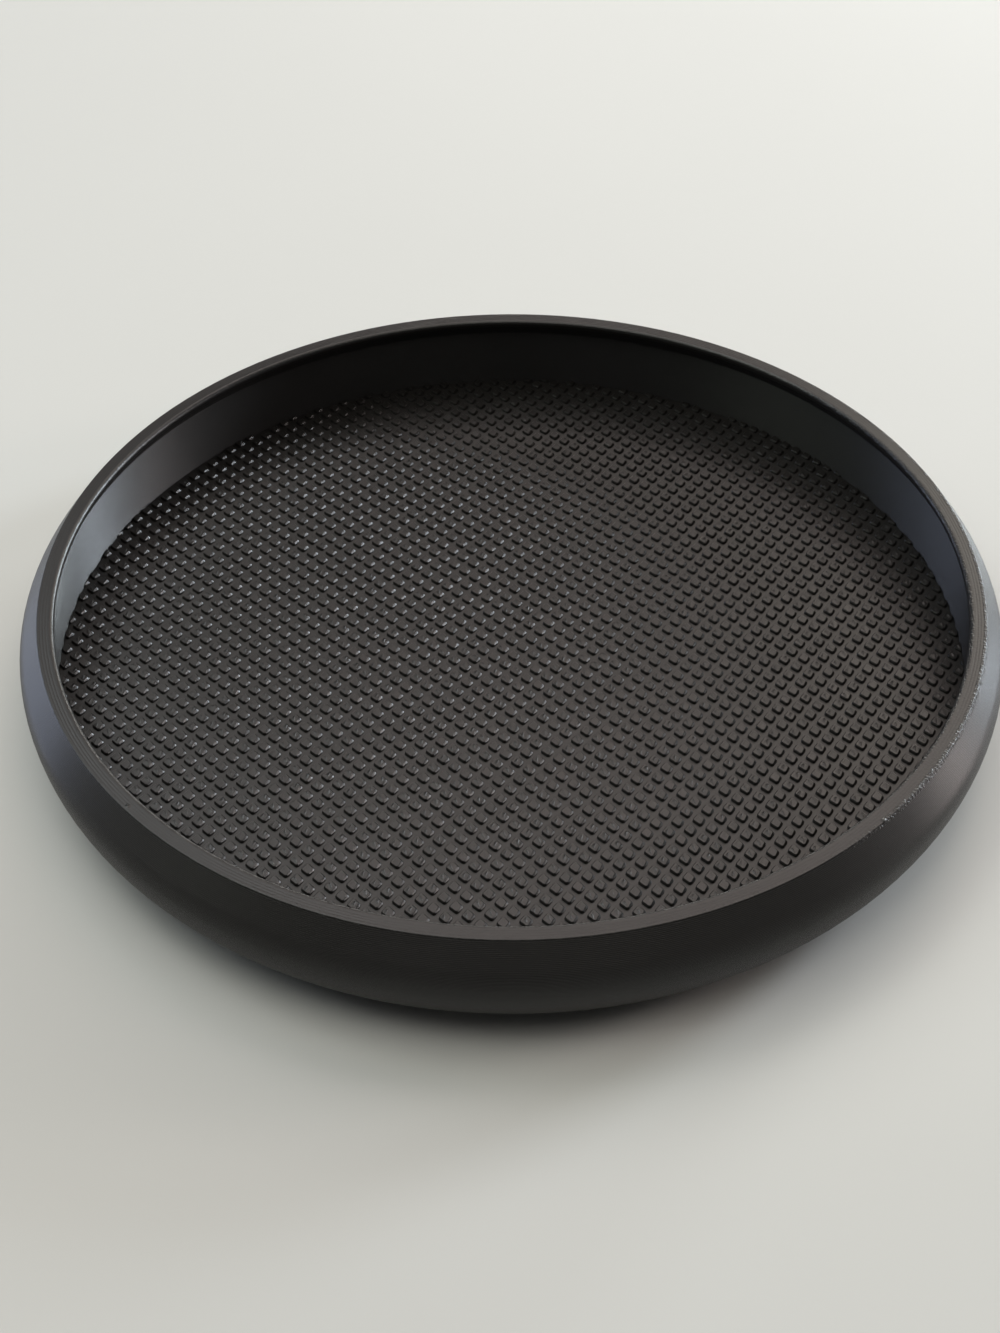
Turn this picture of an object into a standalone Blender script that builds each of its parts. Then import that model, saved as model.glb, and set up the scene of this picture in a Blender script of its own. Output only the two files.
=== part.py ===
"""Round catchall tray: a printed dish with a curled outside, a mat on its floor and four feet.

Metres, +Z up. The origin is on the table, under the middle of the tray.
"""

import math

import bmesh
import bpy

# Tray body, outside. Below its widest line the wall curls in, and has turned this far where it meets the base
RIM_RADIUS = 0.0715
WIDEST_RADIUS = 0.0750
WIDEST_DROP = 0.0068
SHOULDER_RADIUS = 0.0060
CURL_RADIUS = 0.0115
CURL_TURN = math.radians(71.4)
FLOOR_THICKNESS = 0.0026

# Tray body, inside. The rim is a lip that leans over an upright wall, as thick as this at the widest line
RIM_WIDTH = 0.0025
RIM_FILLET = 0.0007
LIP_DROP = 0.0031
WALL = 0.0046

# Well and mat: the well is as deep as the rim stands above the mat's face
WELL_DEPTH = 0.0136
MAT_THICKNESS = 0.0012
FIT_GAP = 0.0003

# Feet, each in a round pocket of the base
FOOT_RADIUS = 0.0060
FOOT_HEIGHT = 0.0018
FOOT_EDGE = 0.0004
FOOT_CIRCLE_RADIUS = 0.0500
POCKET_DEPTH = 0.0008
CUT_OVERRUN = 0.0010

# How finely round shapes are divided
TURN_STEPS = 96
FOOT_STEPS = 32
ARC_STEP = math.radians(10)
EDGE_STEP = math.radians(30)
SMOOTH_ANGLE = math.radians(30)

# Heights and places that follow from the sizes above
BASE_Z = FOOT_HEIGHT + FIT_GAP - POCKET_DEPTH
TRAY_FLOOR_Z = BASE_Z + FLOOR_THICKNESS
MAT_BOTTOM_Z = TRAY_FLOOR_Z + FIT_GAP
MAT_TOP_Z = MAT_BOTTOM_Z + MAT_THICKNESS
RIM_Z = MAT_TOP_Z + WELL_DEPTH
WIDEST_Z = RIM_Z - WIDEST_DROP
WELL_RADIUS = WIDEST_RADIUS - WALL
CORNER_RADIUS = MAT_THICKNESS + FIT_GAP
CURL_CENTRE = (WIDEST_RADIUS - CURL_RADIUS, WIDEST_Z)
SHOULDER_CENTRE = (WIDEST_RADIUS - SHOULDER_RADIUS, WIDEST_Z)
LIP_CENTRE = (RIM_RADIUS - RIM_WIDTH + RIM_FILLET, RIM_Z - RIM_FILLET)
CORNER_CENTRE = (WELL_RADIUS - CORNER_RADIUS, MAT_TOP_Z)

# Colour, roughness and metallic value of each finish
FINISHES = {
    "tray_plastic": ((0.060, 0.054, 0.049), 0.45, 0.0),
    "mat_rubber": ((0.058, 0.051, 0.046), 0.50, 0.0),
    "foot_rubber": ((0.018, 0.018, 0.018), 0.80, 0.0),
}


def clear_scene():
    for obj in list(bpy.data.objects):
        bpy.data.objects.remove(obj, do_unlink=True)


def material(name):
    colour, roughness, metallic = FINISHES[name]
    made = bpy.data.materials.new(name)
    made.use_nodes = True
    shader = made.node_tree.nodes["Principled BSDF"]
    shader.inputs["Base Color"].default_value = (*colour, 1.0)
    shader.inputs["Roughness"].default_value = roughness
    shader.inputs["Metallic"].default_value = metallic
    return made


def arc(centre, radius, start, end, step=ARC_STEP, height=None):
    """Points of a round stretch of a profile, its two ends included. Angles are from +X towards +Z.

    With a height it is a stretch of an ellipse, whose upright half-axis that is.
    """
    steps = max(1, math.ceil(abs(end - start) / step))
    angles = [start + (end - start) * i / steps for i in range(steps + 1)]
    rise = radius if height is None else height
    return [(centre[0] + radius * math.cos(a), centre[1] + rise * math.sin(a)) for a in angles]


def touch_angle(centre, radius, point):
    """Where a straight line from this point touches a circle, as an angle at the circle's centre.

    Of the two places it is the one that is further clockwise.
    """
    across = point[0] - centre[0]
    up = point[1] - centre[1]
    return math.atan2(up, across) - math.acos(radius / math.hypot(across, up))


def outside():
    """From the rim's outer edge down the straight flare, round the widest line, down the curl to the base."""
    edge = (RIM_RADIUS, RIM_Z)
    shoulder_start = touch_angle(SHOULDER_CENTRE, SHOULDER_RADIUS, edge)
    shoulder = arc(SHOULDER_CENTRE, SHOULDER_RADIUS, shoulder_start, 0)
    curl_height = (WIDEST_Z - BASE_Z) / math.sin(CURL_TURN)
    curl = arc(CURL_CENTRE, CURL_RADIUS, 0, -CURL_TURN, height=curl_height)
    return [edge] + shoulder + curl[1:]


def inside():
    """From the floor round its corner, up the wall and the leaning lip, and over the rim's rounded edge."""
    corner = arc(CORNER_CENTRE, CORNER_RADIUS, -math.pi / 2, 0)
    wall_top = (WELL_RADIUS, RIM_Z - LIP_DROP)
    lip_start = math.tau + touch_angle(LIP_CENTRE, RIM_FILLET, wall_top)
    lip = arc(LIP_CENTRE, RIM_FILLET, lip_start, math.pi / 2, EDGE_STEP)
    return corner + [wall_top] + lip


def turned(name, profile, finish, steps=TURN_STEPS):
    """A closed solid of revolution about Z. The profile starts and ends on the axis, its outer side going down."""
    mesh = bpy.data.meshes.new(name)
    form = bmesh.new()
    points = [form.verts.new((radius, 0, z)) for radius, z in profile]
    edges = [form.edges.new(pair) for pair in zip(points, points[1:])]
    bmesh.ops.spin(
        form,
        geom=points + edges,
        cent=(0, 0, 0),
        axis=(0, 0, 1),
        angle=math.tau,
        steps=steps,
        use_merge=True,
    )
    bmesh.ops.remove_doubles(form, verts=form.verts, dist=FIT_GAP / steps)
    bmesh.ops.recalc_face_normals(form, faces=form.faces)
    form.to_mesh(mesh)
    form.free()
    mesh.shade_smooth()
    mesh.set_sharp_from_angle(angle=SMOOTH_ANGLE)
    obj = bpy.data.objects.new(name, mesh)
    bpy.context.scene.collection.objects.link(obj)
    if finish:
        mesh.materials.append(finish)
    return obj


def foot_places():
    """Name and centre of each foot: four on one circle, between the tray's axes."""
    places = {}
    for name, turn_share in (
        ("foot_back_right", 0.125),
        ("foot_back_left", 0.375),
        ("foot_front_left", 0.625),
        ("foot_front_right", 0.875),
    ):
        turn = math.tau * turn_share
        places[name] = (FOOT_CIRCLE_RADIUS * math.cos(turn), FOOT_CIRCLE_RADIUS * math.sin(turn), 0)
    return places


def make_tray_body(finish):
    profile = [(0, TRAY_FLOOR_Z)] + inside() + outside() + [(0, BASE_Z)]
    return turned("tray_body", profile, finish)


def make_floor_mat(finish):
    """A sheet whose rounded edge lies in the corner of the well, the fit gap inside it."""
    edge = arc(CORNER_CENTRE, MAT_THICKNESS, 0, -math.pi / 2)
    return turned("floor_mat", [(0, MAT_TOP_Z)] + edge + [(0, MAT_BOTTOM_Z)], finish)


def make_foot(name, place, finish):
    """A soft disc with a rounded lower edge, whose flat underside stands on the table."""
    lower_edge = arc((FOOT_RADIUS - FOOT_EDGE, FOOT_EDGE), FOOT_EDGE, 0, -math.pi / 2, EDGE_STEP)
    profile = [(0, FOOT_HEIGHT), (FOOT_RADIUS, FOOT_HEIGHT)] + lower_edge + [(0, 0)]
    foot = turned(name, profile, finish, FOOT_STEPS)
    foot.location = place
    return foot


def cut_pocket(body, name, place):
    """The round pocket in the base that a foot sits in."""
    radius = FOOT_RADIUS + FIT_GAP
    top = BASE_Z + POCKET_DEPTH
    bottom = BASE_Z - CUT_OVERRUN
    cutter = turned(name + "_pocket", [(0, top), (radius, top), (radius, bottom), (0, bottom)], None, FOOT_STEPS)
    cutter.location = place
    cutter.hide_render = True
    cutter.display_type = "WIRE"
    cut = body.modifiers.new(name + "_pocket", "BOOLEAN")
    cut.operation = "DIFFERENCE"
    cut.object = cutter


def main():
    clear_scene()
    body = make_tray_body(material("tray_plastic"))
    make_floor_mat(material("mat_rubber"))
    rubber = material("foot_rubber")
    for name, place in foot_places().items():
        make_foot(name, place, rubber)
        cut_pocket(body, name, place)


main()
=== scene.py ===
"""Dressed scene of a round printed catchall tray: shell, studded floor mat and four feet, in a plain studio.

Metres, +Z up. Run as a script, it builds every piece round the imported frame. The panel lists the operators.
"""

import math

import bpy
import numpy as np
from mathutils import Matrix, Vector


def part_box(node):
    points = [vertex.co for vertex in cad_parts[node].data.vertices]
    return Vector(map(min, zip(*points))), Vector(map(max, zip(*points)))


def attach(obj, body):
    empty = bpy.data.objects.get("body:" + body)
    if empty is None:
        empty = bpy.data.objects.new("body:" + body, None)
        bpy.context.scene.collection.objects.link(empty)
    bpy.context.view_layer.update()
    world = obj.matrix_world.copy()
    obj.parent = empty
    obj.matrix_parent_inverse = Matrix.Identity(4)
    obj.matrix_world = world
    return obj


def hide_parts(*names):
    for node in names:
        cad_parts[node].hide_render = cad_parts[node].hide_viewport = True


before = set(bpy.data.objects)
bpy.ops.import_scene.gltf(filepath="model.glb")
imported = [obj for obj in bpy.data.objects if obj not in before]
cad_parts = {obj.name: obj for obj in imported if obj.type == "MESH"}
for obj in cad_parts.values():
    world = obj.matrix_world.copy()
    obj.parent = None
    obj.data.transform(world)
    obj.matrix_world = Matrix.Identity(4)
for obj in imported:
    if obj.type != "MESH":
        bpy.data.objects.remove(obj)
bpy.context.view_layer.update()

bl_info = {
    "name": "Catchall tray",
    "version": (1, 0, 0),
    "blender": (4, 5, 0),
    "location": "View3D > Sidebar > Tray",
    "description": "Builds a round printed catchall tray with a studded floor mat, and a studio round it",
    "category": "Add Mesh",
}

BODY = "root"
FEET = ("foot_front_left", "foot_front_right", "foot_back_left", "foot_back_right")

# Heights and radii that the frame gives
SHELL_LOW, SHELL_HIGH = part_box("tray_body")
MAT_LOW, MAT_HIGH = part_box("floor_mat")
RIM_Z, BASE_Z, WIDEST_RADIUS = SHELL_HIGH.z, SHELL_LOW.z, SHELL_HIGH.x
MAT_TOP_Z, MAT_BOTTOM_Z = MAT_HIGH.z, MAT_LOW.z

MILLIMETRE = 0.001
STUD_SEED = 7

# Edges that bend more than this are shaded sharp, on plain pieces and on the shell with its grooves
SHARP_ANGLE = math.radians(32)
GROOVE_ANGLE = math.radians(52)

# Points of the arcs in a section, of a printed stroke, and of a stud's corner
TINY_ARC, RIM_EDGE_ARC, SMALL_ARC, LIP_ARC, BULGE_ARC, CURL_ARC = 4, 6, 8, 14, 60, 120
STROKE_POINTS, CORNER_POINTS = 6, 3

# Divisions of the turn of a pocket and of the floor
POCKET_STEPS = FLOOR_STEPS = 96

# Where a long straight line of a section gets its points, as shares of its length
LINE_SHARES = np.array([0.02, 0.25, 0.5, 0.75, 0.98])

# Corners of a printed bead: share of its height, and share of its groove's depth
BEAD_HEIGHTS = np.array([0.0, 0.22, 0.5, 0.78])
BEAD_DEPTHS = np.array([1.0, 0.26, 0.0, 0.26])

# Blobs that the nozzle left on the shell: radius, turn from +X in degrees, height, and how far it reaches
BLOBS = (
    (0.07085, -137.1, RIM_Z, 0.00050),
    (0.07135, -46.4, RIM_Z, 0.00050),
    (0.07264, -48.5, 0.01678, 0.00045),
    (0.07288, -46.0, 0.01632, 0.00045),
)


def length(name, description, default):
    return bpy.props.FloatProperty(
        name=name, description=description, default=default, precision=5, unit="LENGTH"
    )


def angle(name, description, degrees):
    return bpy.props.FloatProperty(
        name=name, description=description, default=math.radians(degrees), subtype="ANGLE"
    )


def share(name, description, default):
    return bpy.props.FloatProperty(
        name=name, description=description, default=default, min=0, max=1, subtype="FACTOR"
    )


def count(name, description, default):
    return bpy.props.IntProperty(name=name, description=description, default=default, min=3)


def colour(name, description, default):
    return bpy.props.FloatVectorProperty(
        name=name, description=description, default=default, min=0, max=1, size=3, subtype="COLOR"
    )


class TraySizes(bpy.types.PropertyGroup):
    """Sizes of the turned shell."""

    rim_radius: length("Rim radius", "Outer radius of the flat rim", 0.0715)
    widest_drop: length("Widest drop", "How far the widest line lies below the rim", 0.0068)
    shoulder_radius: length("Shoulder radius", "Radius between the flare and the widest line", 0.0060)
    curl_radius: length("Curl radius", "Level half-axis of the curl below the widest line", 0.0115)
    curl_turn: angle("Curl turn", "How far the curl has turned where it meets the base", 71.4)
    wall: length("Wall", "Thickness of the wall at the widest line", 0.0046)
    rim_width: length("Rim width", "Width of the rim, its rounded inner edge included", 0.0025)
    rim_fillet: length("Rim fillet", "Radius of the rim's inner edge", 0.0007)
    lip_drop: length("Lip drop", "How far below the rim the inner wall stands upright", 0.0031)
    lip_blend: length("Lip blend", "Radius between the lip and the upright wall", 0.0006)
    rim_edge: length("Rim edge", "Radius of the rim's outer edge", 0.00018)
    stroke: length("Stroke", "Width of one printed stroke", 0.00042)
    stroke_depth: length("Stroke depth", "Depth of the groove between two strokes of the rim", 0.00002)
    layer: length("Layer", "Height of one printed layer", 0.0002)
    outer_groove: length("Outer groove", "Depth of the groove between two layers, outside", 0.000042)
    inner_groove: length("Inner groove", "Depth of the groove between two layers, inside", 0.000070)
    fit_gap: length("Fit gap", "Clearance between two pieces", 0.0003)
    pocket_depth: length("Pocket depth", "Depth of the round pockets for the feet", 0.0008)
    steps: count("Steps", "Divisions of the turn", 144)


class MatSizes(bpy.types.PropertyGroup):
    """Sizes of the mat and of the slanted grid of studs on it."""

    edge_gap: length("Edge gap", "Clearance between the mat's edge and the wall", 0.00006)
    pitch_up: length("Pitch up", "Distance between studs along the rows that rise to the right", 0.002365)
    pitch_down: length("Pitch down", "Distance between studs along the rows that fall to the right", 0.002331)
    turn_up: angle("Turn up", "Direction of the rows that rise to the right", 53.7)
    turn_down: angle("Turn down", "Direction of the rows that fall to the right", -43.8)
    first_x: length("First X", "X of the stud nearest the middle", 0.00013)
    first_y: length("First Y", "Y of the stud nearest the middle", -0.00097)
    side: length("Side", "Width of a stud across its flats", 0.00160)
    corner: length("Corner", "Radius of a stud's upright corners", 0.00034)
    seam_corner: length("Seam corner", "Radius of the corner where a stud's stroke ends", 0.00046)
    height: length("Height", "Height of a stud above the mat", 0.00042)
    edge: length("Edge", "Width of the slanted edge round a stud's top", 0.00015)
    seam_edge: length("Seam edge", "Width of the slanted edge at the corner where the stroke ends", 0.00029)
    draft: length("Draft", "How much wider a stud is at its foot", 0.00003)
    sunk: length("Sunk", "How far a stud's foot reaches into the mat", 0.00005)
    jitter: length("Jitter", "How far a printed stud may stray from its place", 0.00002)
    least: share("Least", "Smallest part of a stud that is kept at the wall", 0.12)
    steps: count("Steps", "Divisions of the mat's turn", 360)


class FootSizes(bpy.types.PropertyGroup):
    """Sizes of the soft discs under the tray."""

    edge: length("Edge", "Radius of the lower edge", 0.0004)
    top_edge: length("Top edge", "Radius of the upper edge", 0.0001)
    steps: count("Steps", "Divisions of the turn", 96)


class Finishes(bpy.types.PropertyGroup):
    """Colours and roughness of the finishes."""

    plastic: colour("Plastic", "Printed plastic of the shell", (0.0115, 0.0105, 0.0100))
    mat: colour("Mat", "Printed rubber of the mat", (0.0120, 0.0108, 0.0100))
    foot: colour("Foot", "Rubber of the feet", (0.018, 0.018, 0.018))
    plastic_roughness: share("Plastic roughness", "Roughness of the shell", 0.33)
    mat_roughness: share("Mat roughness", "Roughness of the mat", 0.40)
    stud_roughness: share("Stud roughness", "Roughness of the studs, where the strokes ran together", 0.34)
    foot_roughness: share("Foot roughness", "Roughness of the feet", 0.795)


class StudioSettings(bpy.types.PropertyGroup):
    """Camera and floor of the studio."""

    lens: bpy.props.FloatProperty(name="Lens", description="Focal length", default=51.8, unit="CAMERA")
    elevation: angle("Elevation", "How steeply the camera looks down", 43.13)
    roll: angle("Roll", "Turn of the camera about its own line of sight", -0.37)
    distance: length("Distance", "From the camera to the middle of the rim, along its line of sight", 0.2930)
    aside: length("Aside", "How far the middle of the rim lies right of the picture's middle", 0.00168)
    above: length("Above", "How far the middle of the rim lies above the picture's middle", 0.01455)
    floor_radius: length("Floor radius", "Radius of the floor", 3.0)
    floor: colour("Floor", "Colour of the floor", (0.62, 0.62, 0.60))


def new_piece(name, points, corners, sizes):
    """A smooth mesh object. Its faces are one run of corner numbers, cut up by how many each face has."""
    mesh = bpy.data.meshes.new(name)
    mesh.vertices.add(len(points))
    mesh.vertices.foreach_set("co", np.ascontiguousarray(points, np.float32).ravel())
    mesh.loops.add(len(corners))
    mesh.loops.foreach_set("vertex_index", np.ascontiguousarray(corners, np.int32))
    mesh.polygons.add(len(sizes))
    starts = np.cumsum(sizes) - sizes
    mesh.polygons.foreach_set("loop_start", np.ascontiguousarray(starts, np.int32))
    mesh.update(calc_edges=True)
    mesh.shade_smooth()
    if mesh.validate():
        raise RuntimeError(f"{name} has faces that Blender had to repair")
    piece = bpy.data.objects.new(name, mesh)
    bpy.context.scene.collection.objects.link(piece)
    return piece


def arc(centre, half_axes, start, end, points):
    """Stretch of an ellipse: its centre plus the half-axes times cosine and sine of evenly spaced angles."""
    turn = np.linspace(start, end, points)
    return np.array(centre) + np.stack([np.cos(turn), np.sin(turn)], 1) * half_axes


def ring_quads(rings, steps):
    """Corner numbers of the quads between neighbouring rings, each ring closed on itself."""
    ring = np.arange(rings - 1)[:, None] * steps
    here = np.arange(steps)[None, :]
    after = (here + 1) % steps
    quads = np.stack([ring + here, ring + steps + here, ring + steps + after, ring + after], -1)
    return quads.reshape(-1, 4)


def turned(name, profile, steps, centre=(0, 0)):
    """Surface of revolution. Ring i at the turn t is (r_i cos t, r_i sin t, z_i), moved to the centre.

    The profile's first and last points lie on the axis, its outer side going down. A fan closes each pole.
    """
    turn = np.arange(steps) * math.tau / steps
    radius, height = profile[1:-1].T
    level = np.repeat(height[:, None], steps, 1)
    rings = np.stack([np.outer(radius, np.cos(turn)), np.outer(radius, np.sin(turn)), level], -1)
    poles = [[0, 0, profile[0, 1]], [0, 0, profile[-1, 1]]]
    points = np.concatenate([rings.reshape(-1, 3), poles]) + [*centre, 0]
    quads = ring_quads(len(radius), steps)
    here = np.arange(steps)
    after = (here + 1) % steps
    top_pole = len(radius) * steps
    last = top_pole - steps
    top = np.stack([np.full(steps, top_pole), here, after], 1)
    bottom = np.stack([last + here, np.full(steps, top_pole + 1), last + after], 1)
    corners = np.concatenate([quads.ravel(), top.ravel(), bottom.ravel()])
    sizes = np.concatenate([np.full(len(quads), 4), np.full(2 * steps, 3)])
    return new_piece(name, points, corners, sizes)


def joined(*stretches):
    """Profile through all stretches. A straight line between two of them gets points if it is over 1 mm long.

    The first and the last of those lie close to its ends, so that the shading of a round stretch stays on it.
    """
    run = [np.array(stretches[0], float)]
    for stretch in stretches[1:]:
        stretch = np.array(stretch, float)
        start, end = run[-1][-1], stretch[0]
        if math.dist(start, end) > MILLIMETRE:
            run.append(start + (end - start) * LINE_SHARES[:, None])
        run.append(stretch)
    return np.concatenate(run)


def touch_angle(centre, radius, point):
    """Angle at a circle's centre of the place, further clockwise, where a line from this point touches it."""
    across, up = point[0] - centre[0], point[1] - centre[1]
    return math.atan2(up, across) - math.acos(radius / math.hypot(across, up))


def rim_strokes(tray, inner, outer):
    """Top of the rim as whole printed strokes, each a shallow bead as high as the root of half a sine."""
    strokes = max(1, round((outer - inner) / tray.stroke))
    across = np.linspace(0, 1, strokes * STROKE_POINTS + 1)
    bead = np.abs(np.sin(math.pi * strokes * across))
    radius = inner + (outer - inner) * across
    return np.stack([radius, RIM_Z - tray.stroke_depth * (1 - np.sqrt(bead))], 1)


def layered(section, layer, groove):
    """Section as a stack of printed layers, each a round bead as high as the layer.

    A bead is four chords of an arc. Halfway up it keeps the section's radius. Towards its two neighbours the
    radius changes by the groove, which is above zero inside the tray and below zero outside.
    """
    rising = section[section[:, 1].argsort()]
    low, high = (rising[[0, -1], 1] - BASE_Z) / layer
    layers = np.arange(math.floor(low), math.ceil(high))[:, None] + BEAD_HEIGHTS
    inside = (layers > low) & (layers < high)
    height = BASE_Z + layers[inside] * layer
    depth = np.broadcast_to(BEAD_DEPTHS, layers.shape)[inside] * groove
    stack = np.stack([np.interp(height, rising[:, 1], rising[:, 0]) + depth, height], 1)
    return stack if section[0, 1] < section[-1, 1] else stack[::-1]


def shell_profile(tray):
    """Section of the shell, from the middle of its floor over the rim to the middle of its base.

    Inside, a round corner, an upright wall and a lip that leans in to the rim's rounded edge. Outside, a
    straight flare that touches the shoulder's circle, and from the widest line an ellipse down to the base.
    """
    widest_z, wall_top = RIM_Z - tray.widest_drop, RIM_Z - tray.lip_drop
    well = WIDEST_RADIUS - tray.wall
    corner = MAT_TOP_Z - MAT_BOTTOM_Z + tray.fit_gap
    lip = (tray.rim_radius - tray.rim_width + tray.rim_fillet, RIM_Z - tray.rim_fillet)
    lip_turn = math.tau + touch_angle(lip, tray.rim_fillet, (well, wall_top))
    lean = lip_turn - math.pi
    blend = (well - tray.lip_blend, wall_top - tray.lip_blend * math.tan(lean / 2))
    shoulder = (WIDEST_RADIUS - tray.shoulder_radius, widest_z)
    flare = touch_angle(shoulder, tray.shoulder_radius, (tray.rim_radius, RIM_Z))
    edge = (tray.rim_radius - tray.rim_edge / math.tan((math.pi / 2 + flare) / 2), RIM_Z - tray.rim_edge)
    curl_axes = (tray.curl_radius, (widest_z - BASE_Z) / math.sin(tray.curl_turn))
    foot = arc((well - corner, MAT_TOP_Z), corner, -math.pi / 2, 0, SMALL_ARC)
    bend = arc(blend, tray.lip_blend, 0, lean, SMALL_ARC)
    rim_inner = arc(lip, tray.rim_fillet, lip_turn, math.pi / 2, LIP_ARC)
    rim_outer = arc(edge, tray.rim_edge, math.pi / 2, flare, RIM_EDGE_ARC)
    bulge = arc(shoulder, tray.shoulder_radius, flare, 0, BULGE_ARC)
    curl = arc((WIDEST_RADIUS - tray.curl_radius, widest_z), curl_axes, 0, -tray.curl_turn, CURL_ARC)
    return joined(
        [[0, MAT_TOP_Z - corner]],
        foot,
        layered(np.concatenate([foot[-1:], bend, rim_inner[:1]]), tray.layer, tray.inner_groove),
        rim_inner,
        rim_strokes(tray, lip[0], edge[0])[1:-1],
        rim_outer,
        layered(np.concatenate([rim_outer[-1:], bulge, curl[1:]]), tray.layer, -tray.outer_groove),
        [curl[-1], [0, BASE_Z]],
    )


def cut_pockets(shell, tray):
    """Sinks a round pocket into the base for each foot, and keeps the cut mesh."""
    depsgraph = bpy.context.evaluated_depsgraph_get()
    cutters = []
    for foot in FEET:
        low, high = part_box(foot)
        middle = (low + high) / 2
        radius = (high.x - low.x) / 2 + tray.fit_gap
        top, bottom = BASE_Z + tray.pocket_depth, BASE_Z - tray.pocket_depth
        section = np.array([[0, top], [radius, top], [radius, bottom], [0, bottom]])
        cutter = turned(foot + "_pocket", section, POCKET_STEPS, (middle.x, middle.y))
        cut = shell.modifiers.new(cutter.name, "BOOLEAN")
        cut.operation = "DIFFERENCE"
        cut.object = cutter
        cutters.append(cutter)
    depsgraph.update()
    mesh = bpy.data.meshes.new_from_object(shell.evaluated_get(depsgraph))
    shell.modifiers.clear()
    whole = shell.data
    shell.data = mesh
    bpy.data.meshes.remove(whole)
    mesh.name = shell.name
    for cutter in cutters:
        bpy.data.objects.remove(cutter)


def stud_corners(mat):
    """Outline of a stud, a rhomb with round corners. At the first of them the printed stroke ends.

    For each point: the middle of its corner, the corner's radius, the slanted edge's width and the normal.
    The rhomb's sides follow the grid's two directions. A corner's normals sweep from one side's to the next.
    """
    up = np.array([math.cos(mat.turn_up), math.sin(mat.turn_up)])
    down = np.array([math.cos(mat.turn_down), math.sin(mat.turn_down)])
    slant = math.sin(mat.turn_up - mat.turn_down)
    corner = np.repeat([mat.seam_corner, mat.corner, mat.corner, mat.corner], CORNER_POINTS)
    edge = np.repeat([mat.seam_edge, mat.edge, mat.edge, mat.edge], CORNER_POINTS)
    half = (mat.side / 2 - corner)[:, None] / slant
    quarter = math.pi / 2
    normals = [
        mat.turn_up - quarter,
        mat.turn_down + quarter,
        mat.turn_up + quarter,
        mat.turn_down + 3 * quarter,
        mat.turn_up + 3 * quarter,
    ]
    sweep = np.concatenate([np.linspace(a, b, CORNER_POINTS) for a, b in zip(normals, normals[1:])])
    signs = np.repeat([(1, 1), (1, -1), (-1, -1), (-1, 1)], CORNER_POINTS, axis=0)
    middles = half * (signs[:, :1] * up + signs[:, 1:] * down)
    return middles, corner, edge, np.stack([np.cos(sweep), np.sin(sweep)], 1)


def stud_places(mat, limit, rng):
    """Middle of every stud within the limit: whole steps in the grid's two directions, a little astray."""
    up = mat.pitch_up * np.array([math.cos(mat.turn_up), math.sin(mat.turn_up)])
    down = mat.pitch_down * np.array([math.cos(mat.turn_down), math.sin(mat.turn_down)])
    reach = math.ceil(2 * limit / min(mat.pitch_up, mat.pitch_down))
    steps = np.arange(-reach, reach + 1)
    first, second = np.meshgrid(steps, steps)
    middle = np.array([mat.first_x, mat.first_y])
    places = middle + first.reshape(-1, 1) * up + second.reshape(-1, 1) * down
    places = places[np.hypot(*places.T) < limit + mat.side / 2]
    return places + rng.uniform(-mat.jitter, mat.jitter, places.shape)


def outline_area(outline):
    """Area inside each closed outline, by the sum of the cross products of neighbouring points."""
    after = np.roll(outline, -1, axis=-2)
    return np.abs((outline[..., 0] * after[..., 1] - outline[..., 1] * after[..., 0]).sum(-1)) / 2


def make_studs(mat, limit):
    """All studs as one mesh. Each is three outlines: its foot, the start of its slanted edge, and its top.

    The edge falls as far as it is wide. A point past the limit, a circle's radius, is drawn back onto it.
    """
    rng = np.random.default_rng(STUD_SEED)
    places = stud_places(mat, limit, rng)
    middles, corner, edge, normals = stud_corners(mat)
    level = np.ones(len(edge))
    insets = np.stack([-mat.draft * level, 0 * level, edge])
    top = (MAT_TOP_Z + mat.height) * level
    levels = np.stack([(MAT_TOP_Z - mat.sunk) * level, top - edge, top])
    local = middles + (corner - insets)[..., None] * normals
    outlines = places[:, None, None, :] + local
    reach = np.linalg.norm(outlines, axis=-1, keepdims=True)
    outlines = outlines * np.minimum(1, limit / reach)
    keep = outline_area(outlines[:, 1]) > mat.least * outline_area(local[1])
    outlines, places = outlines[keep], places[keep]
    studs, rings, sides = outlines.shape[:3]
    heights = np.broadcast_to(levels[None, ..., None], (studs, rings, sides, 1))
    points = np.concatenate([outlines, heights], -1).reshape(-1, 3)
    quads = ring_quads(rings, sides)[:, ::-1]
    cap = (rings - 1) * sides + np.arange(sides)
    foot = np.arange(sides)[::-1]
    one = np.concatenate([quads.ravel(), cap, foot])
    corners = (np.arange(studs)[:, None] * rings * sides + one).ravel()
    sizes = np.tile(np.concatenate([np.full(len(quads), 4), [sides, sides]]), studs)
    piece = new_piece("mat_studs", points, corners, sizes)
    piece.data.shade_flat()
    own = (outlines - places[:, None, None, :]) / MILLIMETRE
    chance = np.broadcast_to(rng.random((studs, 1, 1, 1)), (studs, rings, sides, 1))
    face = piece.data.attributes.new("stud_face", "FLOAT_VECTOR", "POINT")
    face.data.foreach_set("vector", np.concatenate([own, chance], -1).astype(np.float32).ravel())
    return piece


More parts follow.
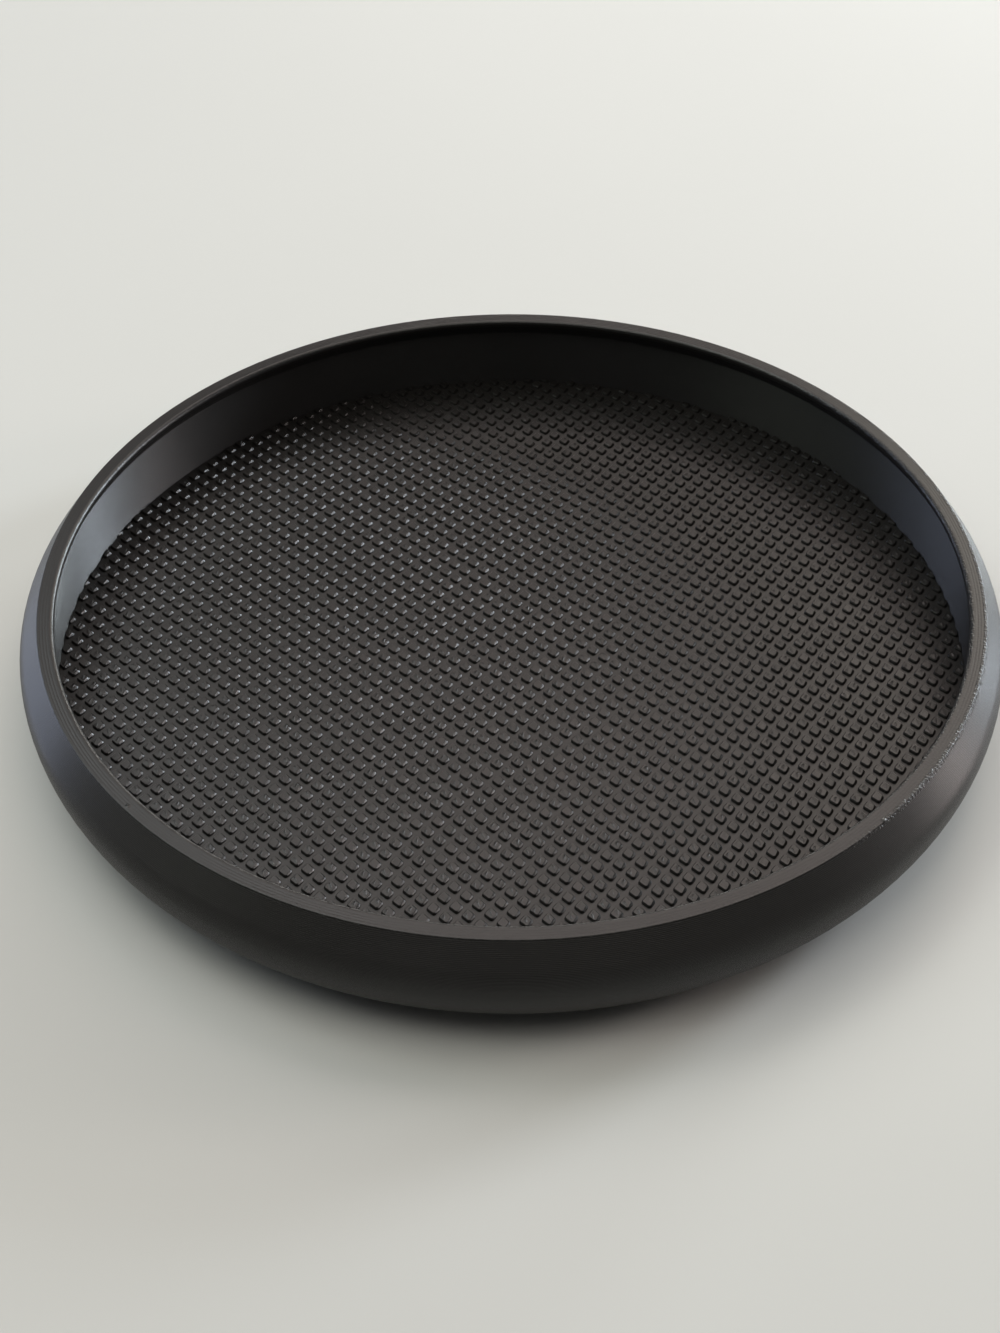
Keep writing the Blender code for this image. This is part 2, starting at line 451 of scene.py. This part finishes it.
class Value:
    """A socket of a finish's node tree. An expression on values adds its Math nodes."""

    def __init__(self, finish, socket):
        self.finish = finish
        self.socket = socket

    def maths(self, operation, *terms):
        return self.finish.add("ShaderNodeMath", {"operation": operation}, terms)

    def __add__(self, other):
        return self.maths("ADD", self, other)

    def __radd__(self, other):
        return self.maths("ADD", other, self)

    def __sub__(self, other):
        return self.maths("SUBTRACT", self, other)

    def __rsub__(self, other):
        return self.maths("SUBTRACT", other, self)

    def __mul__(self, other):
        return self.maths("MULTIPLY", self, other)

    def __rmul__(self, other):
        return self.maths("MULTIPLY", other, self)

    def __pow__(self, other):
        return self.maths("POWER", self, other)

    def __rpow__(self, other):
        return self.maths("POWER", other, self)

    def size(self):
        return self.maths("ABSOLUTE", self)

    def sine(self):
        return self.maths("SINE", self)

    def larger(self, other):
        return self.maths("MAXIMUM", self, other)

    def wave(self, period):
        """From 0 to 1 and back as a sine, once in each period."""
        return (self * (math.tau / period)).sine() * 0.5 + 0.5

    def rise(self, low, high):
        """0 below low and 1 above high, with a smooth step between."""
        inputs = {"Value": self, "From Min": low, "From Max": high}
        return self.finish.add("ShaderNodeMapRange", {"interpolation_type": "SMOOTHSTEP"}, inputs)


# Places of a Mix node's colour sockets, which share their names with its other ones
MIX_FACTOR, MIX_FIRST, MIX_SECOND, MIX_RESULT = 0, 6, 7, 2


class Finish:
    """A procedural material with one Principled shader, and the means to add nodes before it."""

    def __init__(self, name, **constants):
        self.material = bpy.data.materials.new(name)
        self.material.use_nodes = True
        self.tree = self.material.node_tree
        self.shader = self.tree.nodes["Principled BSDF"]
        for socket, value in constants.items():
            self.shader.inputs[socket.replace("_", " ")].default_value = value

    def add(self, kind, settings, inputs, output=0):
        """Any node: its settings first, then its inputs by name or in order. Gives one of its outputs."""
        node = self.tree.nodes.new(kind)
        for name, value in settings.items():
            setattr(node, name, value)
        pairs = inputs.items() if isinstance(inputs, dict) else enumerate(inputs)
        for name, value in pairs:
            self.feed(node.inputs[name], value)
        return Value(self, node.outputs[output])

    def feed(self, socket, value):
        if isinstance(value, Value):
            self.tree.links.new(value.socket, socket)
        else:
            socket.default_value = value

    def split(self, vector):
        """The three parts of a vector."""
        first = self.add("ShaderNodeSeparateXYZ", {}, [vector])
        return [Value(self, part) for part in first.socket.node.outputs]

    def place(self):
        """Object coordinates as (vector, x, y, z), in metres."""
        vector = self.add("ShaderNodeTexCoord", {}, {}, "Object")
        return vector, *self.split(vector)

    def noise(self, vector, size, detail, stretch=None):
        """Noise about 0.5, its grains about this size in metres. A stretch scales the three axes first."""
        if stretch:
            vector = self.add("ShaderNodeMapping", {}, {"Vector": vector, "Scale": stretch})
        inputs = {"Vector": vector, "Scale": 1 / size, "Detail": detail}
        return self.add("ShaderNodeTexNoise", {}, inputs)

    def spots(self, x, y, z, places):
        """1 in the middle of each place, falling smoothly to 0 at its own reach from there."""
        nearest = None
        for radius, turn, height, reach in places:
            turn = math.radians(turn)
            across, along = x - radius * math.cos(turn), y - radius * math.sin(turn)
            away = (across * across + along * along + (z - height) * (z - height)) ** 0.5
            spot = 1 - away.rise(0, reach)
            nearest = nearest.larger(spot) if nearest else spot
        return nearest

    def mix(self, factor, first, second):
        """Colour between the first and the second."""
        inputs = {MIX_FACTOR: factor, MIX_FIRST: (*first, 1.0), MIX_SECOND: (*second, 1.0)}
        return self.add("ShaderNodeMix", {"data_type": "RGBA"}, inputs, MIX_RESULT)

    def bump(self, *layers):
        """Chains Bump nodes. Each layer is (height from 0 to 1, the real height of 1 in metres)."""
        normal = None
        for height, distance in layers:
            inputs = {"Height": height, "Distance": distance}
            if normal:
                inputs["Normal"] = normal
            normal = self.add("ShaderNodeBump", {}, inputs)
        self.feed(self.shader.inputs["Normal"], normal)

    def colour(self, factor, base, darkest, lightest):
        """Base colour, between these two shares of the given one as the factor goes from 0 to 1."""
        shades = [tuple(min(1.0, part * tint) for part in base) for tint in (darkest, lightest)]
        self.feed(self.shader.inputs["Base Color"], self.mix(factor, *shades))

    def roughness(self, level, *spreads):
        """Roughness about a level. A spread is (a value about 0.5, what it adds between its 0 and its 1)."""
        for value, spread in spreads:
            level = level + (value - 0.5) * spread
        self.feed(self.shader.inputs["Roughness"], level)


PRINT_IOR = 1.5
DIAGONAL = math.sqrt(2)

# Sizes of the noises' grains
SHELL_CLOUD, SHELL_BAND, SHELL_DASH, SHELL_GRAIN = 0.018, 0.0006, 0.00045, 0.00035
MAT_CLOUD, MAT_GRAIN, STUD_SEAM, STUD_GRAIN = 0.012, 0.0003, 0.0007, 0.00018
FOOT_CLOUD, FOOT_PIT, FLOOR_CLOUD = 0.004, 0.0004, 0.12
BAND_STRETCH, SEAM_STRETCH = (0.02, 0.02, 1.0), (1.6, 0.7, 1.0)

# Heights of the bumps, and the shares of them that the shell's places get
STROKE_BUMP, DASH_BUMP, GRAIN_BUMP, BLOB_BUMP = 0.000008, 0.00006, 0.00002, 0.00010
MAT_BUMP, LOOP_BUMP, RIDGE_BUMP, SEAM_BUMP, PIT_BUMP = 0.000006, 0.00002, 0.00006, 0.00005, 0.00003
RIM_STROKE_SHARE, BASE_STROKE_SHARE, WALL_GRAIN_SHARE = 0.5, 2.0, 0.15

# Shell: heights between which the rim's, the base's and the dashes' finishes come in
RIM_FADE = (RIM_Z - 0.00035, RIM_Z - 0.00012)
BASE_FADE = (BASE_Z + 0.00005, BASE_Z + 0.0003)
DASH_FADE = (RIM_Z - 0.0006, RIM_Z - 0.0003)

# Dashes: distances in from the rim's outer edge and out from its inner one, between which they come in
OUTER_EDGE_FADE, INNER_EDGE_FADE = (0.0005, 0.0003), (0.0004, 0.0007)

# Dashes: the noise and the X between which they rise, how much X adds, and what the rim's middle gets of them
DASH_NOISE, ROUGH_SIDE = (0.45, 0.62), (0.040, 0.062)
ROUGH_SHARE, MIDDLE_DASH_SHARE = 0.8, 0.05

# Studs: how fast loops, ridge, lean and shift change with a stud's chance, and how often the first two show
LOOP_PACE, RIDGE_PACE, LEAN_PACE, SHIFT_PACE = 211, 89, 47, 131
LOOP_ODDS, RIDGE_ODDS = (-0.6, 0.9), (-0.9, 0.0)

# Studs: where the ridge climbs, drops and ends, and how far it leans, shifts and slides, in millimetres
RIDGE_CLIMB, RIDGE_DROP, RIDGE_END = (-0.4, 0), (0, 0.08), (0.2, 0.5)
RIDGE_LEAN, RIDGE_SHIFT, RIDGE_SLIDE = 0.4, 0.22, 0.15


def shell_finish(tray, finishes):
    """Printed plastic: bands up the wall, strokes along the rim, and the first layer's strokes on the base.

    Dashes roughen the rim's two edges, most of all at its right side, and a few blobs stand out.
    """
    finish = Finish("tray_plastic", IOR=PRINT_IOR)
    vector, x, y, z = finish.place()
    radius = (x * x + y * y) ** 0.5
    cloud = finish.noise(vector, SHELL_CLOUD, detail=3)
    grain = finish.noise(vector, SHELL_GRAIN, detail=2)
    bands = finish.noise(vector, SHELL_BAND, detail=1, stretch=BAND_STRETCH)
    on_rim = z.rise(*RIM_FADE)
    on_base = 1 - z.rise(*BASE_FADE)
    on_wall = (1 - on_rim) * (1 - on_base)
    rings = radius.wave(tray.stroke)
    lines = (x + y).wave(tray.stroke * DIAGONAL)
    height = bands * on_wall + rings * on_rim * RIM_STROKE_SHARE + lines * on_base * BASE_STROKE_SHARE
    inner_radius = tray.rim_radius - tray.rim_width
    outer_edge = radius.rise(*(tray.rim_radius - inward for inward in OUTER_EDGE_FADE))
    inner_edge = 1 - radius.rise(*(inner_radius + outward for outward in INNER_EDGE_FADE))
    rough_side = x.rise(*ROUGH_SIDE) * ROUGH_SHARE + (1 - ROUGH_SHARE)
    dashes = finish.noise(vector, SHELL_DASH, detail=1).rise(*DASH_NOISE)
    dashes = dashes * (outer_edge.larger(inner_edge) + MIDDLE_DASH_SHARE) * rough_side * z.rise(*DASH_FADE)
    grains = grain * (on_rim + WALL_GRAIN_SHARE)
    blobs = finish.spots(x, y, z, BLOBS)
    finish.bump((height, STROKE_BUMP), (dashes, DASH_BUMP), (grains, GRAIN_BUMP), (blobs, BLOB_BUMP))
    finish.colour(cloud * 0.7 + bands * 0.3, finishes.plastic, darkest=0.86, lightest=1.14)
    finish.roughness(finishes.plastic_roughness, (cloud, 0.08), (grain, 0.10))
    return finish.material


def mat_finish(tray, finishes):
    """Printed rubber of the sheet: strokes across it and a fine grain."""
    finish = Finish("mat_rubber", IOR=PRINT_IOR)
    vector, x, y, _ = finish.place()
    cloud = finish.noise(vector, MAT_CLOUD, detail=3)
    grain = finish.noise(vector, MAT_GRAIN, detail=2)
    finish.bump(((x - y).wave(tray.stroke * DIAGONAL), MAT_BUMP), (grain, GRAIN_BUMP))
    finish.colour(cloud, finishes.mat, darkest=0.88, lightest=1.12)
    finish.roughness(finishes.mat_roughness, (cloud, 0.08), (grain, 0.12))
    return finish.material


def stud_finish(mat, tray, finishes):
    """The mat's rubber on a stud: loops of printed strokes on its top, and a ridge that the nozzle left.

    Loops and ridge differ from stud to stud by its own chance, a number from 0 to 1, stretched and waved.
    """
    finish = Finish("stud_rubber", IOR=PRINT_IOR)
    vector, _, _, z = finish.place()
    face = finish.add("ShaderNodeAttribute", {"attribute_name": "stud_face"}, {}, "Vector")
    across, along, chance = finish.split(face)
    normals = (mat.turn_up - math.pi / 2, mat.turn_down + math.pi / 2)
    sides = [(across * math.cos(turn) + along * math.sin(turn)).size() for turn in normals]
    stroke = tray.stroke / MILLIMETRE
    inward = mat.side / MILLIMETRE / 2 - sides[0].larger(sides[1])
    loops = (inward * (math.pi / stroke)).sine().size() * (chance * LOOP_PACE).sine().rise(*LOOP_ODDS)
    lean, shift = (chance * LEAN_PACE).sine(), (chance * SHIFT_PACE).sine()
    ahead = across - along * lean * RIDGE_LEAN - shift * RIDGE_SHIFT
    ridge = ahead.rise(*RIDGE_CLIMB) * (1 - ahead.rise(*RIDGE_DROP))
    ridge = ridge * (1 - (along - shift * RIDGE_SLIDE).size().rise(*RIDGE_END))
    ridge = ridge * (chance * RIDGE_PACE).sine().rise(*RIDGE_ODDS)
    seam = finish.noise(vector, STUD_SEAM, detail=2, stretch=SEAM_STRETCH)
    grain = finish.noise(vector, STUD_GRAIN, detail=2)
    top = MAT_TOP_Z + mat.height
    on_top = z.rise(top - mat.edge, top)
    finish.bump(
        (loops * on_top, LOOP_BUMP),
        (ridge * on_top, RIDGE_BUMP),
        (seam * on_top, SEAM_BUMP),
        (grain, GRAIN_BUMP),
    )
    finish.colour(chance * 0.5 + seam * 0.5, finishes.mat, darkest=0.86, lightest=1.18)
    finish.roughness(finishes.stud_roughness, (seam, 0.12), (chance, 0.08))
    return finish.material


def foot_finish(finishes):
    """Soft rubber of the feet, dull and finely pitted."""
    finish = Finish("foot_rubber")
    vector, *_ = finish.place()
    pits = finish.noise(vector, FOOT_PIT, detail=3)
    cloud = finish.noise(vector, FOOT_CLOUD, detail=2)
    finish.bump((pits, PIT_BUMP))
    finish.colour(cloud, finishes.foot, darkest=0.7, lightest=1.3)
    finish.roughness(finishes.foot_roughness, (pits, 0.15))
    return finish.material


def dress(piece, finish, slot, *nodes):
    """Gives a piece its finish, lets it ride on the tray's body, and hides the CAD nodes that it stands for,
    where it is given any.
    """
    piece.data.materials.clear()
    piece.data.materials.append(finish)
    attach(piece, BODY)
    if nodes:
        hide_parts(*nodes)


class TRAY_OT_shell(bpy.types.Operator):
    """Turn the tray's shell, and cut its pockets for the feet"""

    bl_idname = "tray.add_shell"
    bl_label = "Shell"

    def execute(self, context):
        tray, finishes = context.scene.tray_sizes, context.scene.tray_finishes
        shell = turned("tray_shell", shell_profile(tray), tray.steps)
        cut_pockets(shell, tray)
        shell.data.set_sharp_from_angle(angle=GROOVE_ANGLE)
        dress(shell, shell_finish(tray, finishes), "tray_plastic", "tray_body")
        return {"FINISHED"}


class TRAY_OT_mat(bpy.types.Operator):
    """Lay the mat on the tray's floor"""

    bl_idname = "tray.add_mat"
    bl_label = "Mat"

    def execute(self, context):
        tray, mat, finishes = context.scene.tray_sizes, context.scene.tray_mat, context.scene.tray_finishes
        thickness = MAT_TOP_Z - MAT_BOTTOM_Z
        corner = thickness + tray.fit_gap
        centre = (WIDEST_RADIUS - tray.wall - corner, MAT_TOP_Z)
        edge = arc(centre, (corner - mat.edge_gap, thickness), 0, -math.pi / 2, SMALL_ARC)
        sheet = turned("mat_sheet", joined([[0, MAT_TOP_Z]], edge, [[0, MAT_BOTTOM_Z]]), mat.steps)
        sheet.data.set_sharp_from_angle(angle=SHARP_ANGLE)
        dress(sheet, mat_finish(tray, finishes), "mat_rubber", "floor_mat")
        return {"FINISHED"}


class TRAY_OT_studs(bpy.types.Operator):
    """Stand the studs on the mat, in a slanted grid that the wall cuts off"""

    bl_idname = "tray.add_studs"
    bl_label = "Studs"

    def execute(self, context):
        tray, mat, finishes = context.scene.tray_sizes, context.scene.tray_mat, context.scene.tray_finishes
        limit = WIDEST_RADIUS - tray.wall - mat.edge_gap - mat.draft
        dress(make_studs(mat, limit), stud_finish(mat, tray, finishes), "mat_rubber")
        return {"FINISHED"}


class TRAY_OT_feet(bpy.types.Operator):
    """Set the four soft feet into the base"""

    bl_idname = "tray.add_feet"
    bl_label = "Feet"

    def execute(self, context):
        sizes = context.scene.tray_feet
        finish = foot_finish(context.scene.tray_finishes)
        for foot in FEET:
            low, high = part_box(foot)
            middle = (low + high) / 2
            radius = (high.x - low.x) / 2
            inner = (radius - sizes.top_edge, high.z - sizes.top_edge)
            outer = (radius - sizes.edge, low.z + sizes.edge)
            top = arc(inner, sizes.top_edge, math.pi / 2, 0, TINY_ARC)
            bottom = arc(outer, sizes.edge, 0, -math.pi / 2, SMALL_ARC)
            profile = np.concatenate([[[0, high.z]], top, bottom, [[0, low.z]]])
            disc = turned(foot.replace("foot", "foot_disc"), profile, sizes.steps, (middle.x, middle.y))
            disc.data.set_sharp_from_angle(angle=SHARP_ANGLE)
            dress(disc, finish, "foot_rubber", foot)
        return {"FINISHED"}


WORLD_COLOUR = (1.0, 1.0, 0.98, 1.0)
WORLD_STRENGTH = 0.05
CLIP_START, CLIP_END = 0.01, 100

# Softboxes: name, turn from +X and rise above the floor in degrees, width and height, power in watts, colour
SOFTBOXES = (
    ("window_low", 50, 6, 0.2, 0.2, 4.7, (0.85, 0.95, 1.00)),
    ("window", 30, 17, 0.2, 0.2, 5.5, (0.82, 0.91, 1.00)),
    ("window_side", 10, 17, 0.2, 0.2, 1.9, (1.00, 0.88, 0.84)),
    ("low_left", 150, 8, 0.6, 0.3, 2.5, (0.67, 0.76, 1.00)),
    ("back_low", 80, 5, 0.7, 0.1, 2.0, (1.00, 0.97, 0.90)),
    ("back_right", 58, 31, 0.4, 0.4, 1.2, (1.00, 0.95, 0.80)),
    ("back", 75, 55, 0.6, 0.6, 2.3, (1.00, 0.86, 0.81)),
    ("top", 270, 80, 0.7, 0.7, 1.0, (1.00, 1.00, 0.84)),
    ("back_left", 135, 55, 0.6, 0.6, 2.4, (0.96, 1.00, 1.00)),
    ("left", 180, 55, 0.6, 0.6, 1.9, (0.92, 1.00, 0.88)),
    ("front_left", 225, 72, 0.6, 0.6, 1.0, (1.00, 0.93, 0.96)),
    ("front_right", 315, 72, 0.6, 0.6, 1.1, (1.00, 0.95, 0.88)),
)
SOFTBOX_DISTANCE = 1.0


def add_softbox(name, turn, rise, width, height, power, colour):
    """A lamp that looks at the tray. Its place is on a sphere round it: turn from +X, rise from level."""
    lamp = bpy.data.lights.new(name, "AREA")
    lamp.shape, lamp.size, lamp.size_y = "RECTANGLE", width, height
    lamp.energy, lamp.color = power, colour
    box = bpy.data.objects.new(name, lamp)
    turn, rise = math.radians(turn), math.radians(rise)
    towards = Vector((math.cos(turn) * math.cos(rise), math.sin(turn) * math.cos(rise), math.sin(rise)))
    box.location = towards * SOFTBOX_DISTANCE
    box.rotation_euler = towards.to_track_quat("Z", "Y").to_euler()
    box.visible_camera = False
    bpy.context.scene.collection.objects.link(box)


def add_camera(studio):
    """Camera that sees the middle of the rim at its distance, above and aside of the picture's middle."""
    rise, roll = studio.elevation, studio.roll
    back = Vector((0, -math.cos(rise), math.sin(rise)))
    level = Vector((1, 0, 0))
    steep = Vector((0, math.sin(rise), math.cos(rise)))
    right = math.cos(roll) * level + math.sin(roll) * steep
    up = math.cos(roll) * steep - math.sin(roll) * level
    data = bpy.data.cameras.new("camera")
    data.lens = studio.lens
    data.clip_start, data.clip_end = CLIP_START, CLIP_END
    camera = bpy.data.objects.new("camera", data)
    camera.matrix_world = Matrix((right, up, back)).transposed().to_4x4()
    middle = Vector((0, 0, RIM_Z))
    camera.location = middle - studio.aside * right - studio.above * up + studio.distance * back
    bpy.context.scene.collection.objects.link(camera)
    bpy.context.scene.camera = camera


def add_floor(studio):
    """Plain pale floor, a flat disc of one colour with the faintest cloud in it."""
    turn = np.arange(FLOOR_STEPS) * math.tau / FLOOR_STEPS
    points = np.stack([np.cos(turn), np.sin(turn), 0 * turn], 1) * studio.floor_radius
    floor = new_piece("floor", points, np.arange(FLOOR_STEPS), np.array([FLOOR_STEPS]))
    finish = Finish("floor", Roughness=0.6, Specular_IOR_Level=0.2)
    vector, *_ = finish.place()
    cloud = finish.noise(vector, FLOOR_CLOUD, detail=3)
    finish.colour(cloud, studio.floor, darkest=0.98, lightest=1.02)
    floor.data.materials.append(finish.material)


def add_world():
    """Pale surroundings that give the tray its soft fill."""
    world = bpy.data.worlds.new("studio")
    world.use_nodes = True
    background = world.node_tree.nodes["Background"]
    background.inputs["Color"].default_value = WORLD_COLOUR
    background.inputs["Strength"].default_value = WORLD_STRENGTH
    bpy.context.scene.world = world


class TRAY_OT_studio(bpy.types.Operator):
    """Set up the floor, the surroundings, the lamps and the camera"""

    bl_idname = "tray.add_studio"
    bl_label = "Studio"

    def execute(self, context):
        studio = context.scene.tray_studio
        add_floor(studio)
        add_world()
        for softbox in SOFTBOXES:
            add_softbox(*softbox)
        add_camera(studio)
        context.scene.view_settings.view_transform = "Standard"
        return {"FINISHED"}


class TRAY_PT_panel(bpy.types.Panel):
    """Lists the tray's operators"""

    bl_idname = "TRAY_PT_panel"
    bl_label = "Catchall tray"
    bl_space_type = "VIEW_3D"
    bl_region_type = "UI"
    bl_category = "Tray"

    def draw(self, context):
        for operator in OPERATORS:
            self.layout.operator(operator.bl_idname)


GROUPS = {
    "tray_sizes": TraySizes,
    "tray_mat": MatSizes,
    "tray_feet": FootSizes,
    "tray_finishes": Finishes,
    "tray_studio": StudioSettings,
}
OPERATORS = (TRAY_OT_shell, TRAY_OT_mat, TRAY_OT_studs, TRAY_OT_feet, TRAY_OT_studio)


def register():
    for group in (*GROUPS.values(), *OPERATORS, TRAY_PT_panel):
        bpy.utils.register_class(group)
    for name, group in GROUPS.items():
        setattr(bpy.types.Scene, name, bpy.props.PointerProperty(type=group))


def unregister():
    for name in GROUPS:
        delattr(bpy.types.Scene, name)
    for group in (TRAY_PT_panel, *OPERATORS, *GROUPS.values()):
        bpy.utils.unregister_class(group)


def main():
    register()
    bpy.ops.tray.add_shell()
    bpy.ops.tray.add_mat()
    bpy.ops.tray.add_studs()
    bpy.ops.tray.add_feet()
    bpy.ops.tray.add_studio()


if __name__ == "__main__":
    main()
